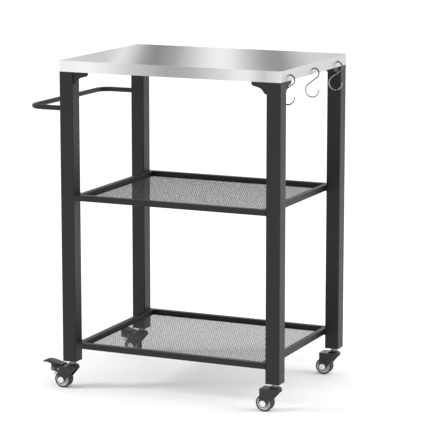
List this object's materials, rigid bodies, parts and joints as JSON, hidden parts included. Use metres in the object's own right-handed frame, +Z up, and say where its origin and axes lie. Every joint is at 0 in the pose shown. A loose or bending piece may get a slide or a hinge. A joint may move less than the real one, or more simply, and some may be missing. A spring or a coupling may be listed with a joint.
{
  "type": "kitchen island cart",
  "caption": "Rolling kitchen cart: folded steel top on square legs, mesh shelves, side handle, hanging S-hooks and swivel casters with brakes on the handle end.",
  "frame": {"origin": "on the floor, at the middle of the whole cart's bounding box (handle and hooks included)", "axes": "+Z up, +X from the handle end to the hook end, +Y from the front to the back"},
  "size_m": [0.6674, 0.4136, 0.79],
  "materials": {
    "stainless_top": "brushed stainless sheet, long grain",
    "zinc_plate": "bright zinc plated steel",
    "black_frame": "satin black powder coat",
    "black_mesh": "black powder coated expanded metal",
    "black_plastic": "moulded black nylon",
    "fork_paint": "black paint on stamped steel",
    "wheel_hub": "moulded light grey nylon",
    "tyre": "black moulded rubber",
    "axle_cap": "bright plated domed heads",
    "hook_steel": "polished steel wire"
  },
  "bodies": {
    "cart": {"tabletop": "stainless_top", "front_stiffener": "zinc_plate", "back_stiffener": "zinc_plate", "front_left_leg": "black_frame", "front_left_plug": "black_plastic", "front_left_end_gusset": "black_frame", "front_left_side_gusset": "black_frame", "front_right_leg": "black_frame", "front_right_plug": "black_plastic", "front_right_end_gusset": "black_frame", "front_right_side_gusset": "black_frame", "back_left_leg": "black_frame", "back_left_plug": "black_plastic", "back_left_end_gusset": "black_frame", "back_left_side_gusset": "black_frame", "back_right_leg": "black_frame", "back_right_plug": "black_plastic", "back_right_end_gusset": "black_frame", "back_right_side_gusset": "black_frame", "middle_shelf_frame": "black_frame", "middle_shelf_mesh": "black_mesh", "lower_shelf_frame": "black_frame", "lower_shelf_mesh": "black_mesh", "side_handle": "black_frame", "front_left_stem": "zinc_plate", "front_right_stem": "zinc_plate", "back_left_stem": "zinc_plate", "back_right_stem": "zinc_plate"},
    "front_left_caster": {"front_left_fork": "fork_paint", "front_left_axle": "axle_cap", "front_left_pedal_pin": "zinc_plate", "front_left_leaf_pin": "zinc_plate"},
    "front_left_wheel": {"front_left_hub": "wheel_hub", "front_left_tyre": "tyre"},
    "front_left_brake_pedal": {"front_left_pedal": "black_plastic"},
    "front_left_brake_shoe": {"front_left_brake_leaf": "fork_paint"},
    "front_right_caster": {"front_right_fork": "fork_paint", "front_right_axle": "axle_cap"},
    "front_right_wheel": {"front_right_hub": "wheel_hub", "front_right_tyre": "tyre"},
    "back_left_caster": {"back_left_fork": "fork_paint", "back_left_axle": "axle_cap", "back_left_pedal_pin": "zinc_plate", "back_left_leaf_pin": "zinc_plate"},
    "back_left_wheel": {"back_left_hub": "wheel_hub", "back_left_tyre": "tyre"},
    "back_left_brake_pedal": {"back_left_pedal": "black_plastic"},
    "back_left_brake_shoe": {"back_left_brake_leaf": "fork_paint"},
    "back_right_caster": {"back_right_fork": "fork_paint", "back_right_axle": "axle_cap"},
    "back_right_wheel": {"back_right_hub": "wheel_hub", "back_right_tyre": "tyre"},
    "front_hook": {"front_hook": "hook_steel"},
    "middle_hook": {"middle_hook": "hook_steel"},
    "back_hook": {"back_hook": "hook_steel"}
  },
  "joints": [
    {"name": "front_left_swivel", "type": "hinge", "parent": "cart", "child": "front_left_caster", "pos_m": [-0.2212, -0.1875, 0.06], "axis": [0, 0, 1], "continuous": true},
    {"name": "front_left_roll", "type": "hinge", "parent": "front_left_caster", "child": "front_left_wheel", "pos_m": [-0.2449, -0.1875, 0.02], "axis": [0, 1, 0], "continuous": true},
    {"name": "front_left_pedal_press", "type": "hinge", "parent": "front_left_caster", "child": "front_left_brake_pedal", "pos_m": [-0.2667, -0.1875, 0.0465], "axis": [0, -1, 0], "range_deg": [0, 18]},
    {"name": "front_left_leaf_press", "type": "hinge", "parent": "front_left_caster", "child": "front_left_brake_shoe", "pos_m": [-0.2517, -0.1875, 0.046], "axis": [0, -1, 0], "range_deg": [0, 11]},
    {"name": "front_right_swivel", "type": "hinge", "parent": "cart", "child": "front_right_caster", "pos_m": [0.3038, -0.1875, 0.06], "axis": [0, 0, 1], "continuous": true},
    {"name": "front_right_roll", "type": "hinge", "parent": "front_right_caster", "child": "front_right_wheel", "pos_m": [0.2801, -0.1875, 0.02], "axis": [0, 1, 0], "continuous": true},
    {"name": "back_left_swivel", "type": "hinge", "parent": "cart", "child": "back_left_caster", "pos_m": [-0.2212, 0.1875, 0.06], "axis": [0, 0, 1], "continuous": true},
    {"name": "back_left_roll", "type": "hinge", "parent": "back_left_caster", "child": "back_left_wheel", "pos_m": [-0.2449, 0.1875, 0.02], "axis": [0, 1, 0], "continuous": true},
    {"name": "back_left_pedal_press", "type": "hinge", "parent": "back_left_caster", "child": "back_left_brake_pedal", "pos_m": [-0.2667, 0.1875, 0.0465], "axis": [0, -1, 0], "range_deg": [0, 18]},
    {"name": "back_left_leaf_press", "type": "hinge", "parent": "back_left_caster", "child": "back_left_brake_shoe", "pos_m": [-0.2517, 0.1875, 0.046], "axis": [0, -1, 0], "range_deg": [0, 11]},
    {"name": "back_right_swivel", "type": "hinge", "parent": "cart", "child": "back_right_caster", "pos_m": [0.3038, 0.1875, 0.06], "axis": [0, 0, 1], "continuous": true},
    {"name": "back_right_roll", "type": "hinge", "parent": "back_right_caster", "child": "back_right_wheel", "pos_m": [0.2801, 0.1875, 0.02], "axis": [0, 1, 0], "continuous": true},
    {"name": "front_hook_swing", "type": "hinge", "parent": "cart", "child": "front_hook", "pos_m": [0.3207, -0.149, 0.7758], "axis": [1, 0, 0], "range_deg": [-4, 28]},
    {"name": "middle_hook_swing", "type": "hinge", "parent": "cart", "child": "middle_hook", "pos_m": [0.3207, 0, 0.7758], "axis": [1, 0, 0], "range_deg": [-45, 45]},
    {"name": "back_hook_swing", "type": "hinge", "parent": "cart", "child": "back_hook", "pos_m": [0.3207, 0.149, 0.7758], "axis": [1, 0, 0], "range_deg": [-28, 4]}
  ],
  "couplings": [
    {"joint": "front_left_leaf_press", "follows": "front_left_pedal_press", "ratio": 0.6},
    {"joint": "back_left_leaf_press", "follows": "back_left_pedal_press", "ratio": 0.6}
  ]
}
